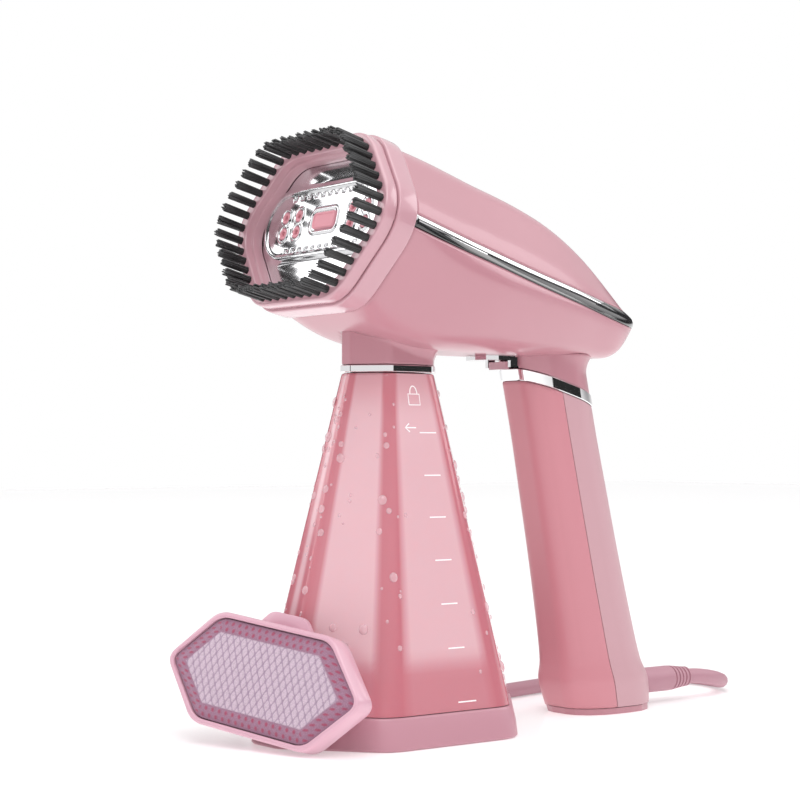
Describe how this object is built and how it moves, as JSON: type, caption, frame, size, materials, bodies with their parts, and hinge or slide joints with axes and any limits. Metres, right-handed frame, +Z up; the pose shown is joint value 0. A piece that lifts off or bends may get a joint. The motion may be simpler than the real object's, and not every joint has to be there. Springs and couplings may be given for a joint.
{
  "type": "garment steamer",
  "caption": "Hand-held garment steamer with a six-sided brush head, a tapered lift-off water tank, a leaning handle, a power lead and a loose clip-on fabric pad.",
  "frame": {"origin": "on the floor, under the centre of the water tank's base", "axes": "+Z up, the brush head faces -Y and looks up a little, the handle stands behind at +Y, +X is the steamer's left side"},
  "size_m": [0.1874, 0.2875, 0.2314],
  "materials": {
    "shell_pink": "moulded ABS, satin gloss, rose pink",
    "tank_clear_pink": "tinted translucent moulded plastic",
    "soft_pink": "soft PVC and silicone, matt, rose pink",
    "chrome_trim": "vacuum-plated plastic, mirror bright",
    "polished_steel": "mirror-polished stainless steel",
    "fastener_steel": "zinc-plated steel",
    "cast_aluminium": "as cast",
    "bristle_black": "nylon tufts, near black",
    "inner_black": "moulded nylon, black",
    "board_green": "printed circuit board with parts",
    "silicone_clear": "milky silicone",
    "brass": "turned brass",
    "pad_fabric": "white honeycomb mesh over lilac-pink foam"
  },
  "bodies": {
    "tank": {"tank_shell": "tank_clear_pink", "tank_base": "shell_pink", "tank_neck_ring": "chrome_trim", "tank_neck_seal": "silicone_clear", "tank_valve_cap": "shell_pink", "valve_spring": "fastener_steel", "pickup_tube": "silicone_clear", "pickup_filter": "fastener_steel"},
    "valve": {"valve_poppet": "brass"},
    "steamer": {"barrel_top_cover": "shell_pink", "barrel_lower_shell": "shell_pink", "side_trim_strip": "chrome_trim", "tank_receiver": "inner_black", "suction_hose": "silicone_clear", "pressure_hose": "silicone_clear", "water_pump": "inner_black", "circuit_board": "board_green", "heater_lead": "inner_black", "mains_lead": "soft_pink", "handle_front_shell": "shell_pink", "handle_rear_cover": "shell_pink", "handle_ring": "chrome_trim", "handle_foot_plate": "shell_pink", "handle_screw_1": "fastener_steel", "handle_screw_2": "fastener_steel", "handle_screw_3": "fastener_steel", "trigger_guard": "chrome_trim", "microswitch": "inner_black", "head_collar": "shell_pink", "soleplate": "polished_steel", "nozzle_gasket": "soft_pink", "steam_chamber": "cast_aluminium", "heating_element": "fastener_steel", "thermostat": "inner_black", "thermal_fuse": "inner_black", "strain_relief": "soft_pink", "power_cord": "soft_pink", "cord_coil": "soft_pink", "plug_body": "soft_pink", "plug_pin_left": "fastener_steel", "plug_pin_right": "fastener_steel"},
    "trigger": {"steam_trigger": "shell_pink"},
    "switch_plunger": {"microswitch_plunger": "inner_black"},
    "brush": {"brush_frame": "shell_pink", "bristle_ring": "bristle_black"},
    "pad": {"pad_frame": "shell_pink", "pad_cushion": "pad_fabric"}
  },
  "joints": [
    {"name": "body_lift_off", "type": "slide", "parent": "tank", "child": "steamer", "axis": [0, 0, 1], "range_m": [0, 0.016]},
    {"name": "valve_slide", "type": "slide", "parent": "tank", "child": "valve", "axis": [0, 0, -1], "range_m": [0, 0.0015], "stiffness_N_per_m": 150, "springref_m": -0.002, "deforming": ["valve_spring"]},
    {"name": "steam_trigger_press", "type": "slide", "parent": "steamer", "child": "trigger", "axis": [0, 1, 0], "range_m": [0, 0.002], "stiffness_N_per_m": 800, "springref_m": -0.0012},
    {"name": "switch_press", "type": "slide", "parent": "steamer", "child": "switch_plunger", "axis": [0, 1, 0], "range_m": [0, 0.001]},
    {"name": "brush_pull_off", "type": "slide", "parent": "steamer", "child": "brush", "axis": [0, -0.9704, 0.2414], "range_m": [0, 0.012]},
    {"name": "pad_pull_away", "type": "slide", "parent": "tank", "child": "pad", "axis": [0.3157, -0.9489, 0], "range_m": [0, 0.04]}
  ],
  "couplings": [
    {"joint": "switch_press", "follows": "steam_trigger_press", "ratio": 0.5}
  ]
}
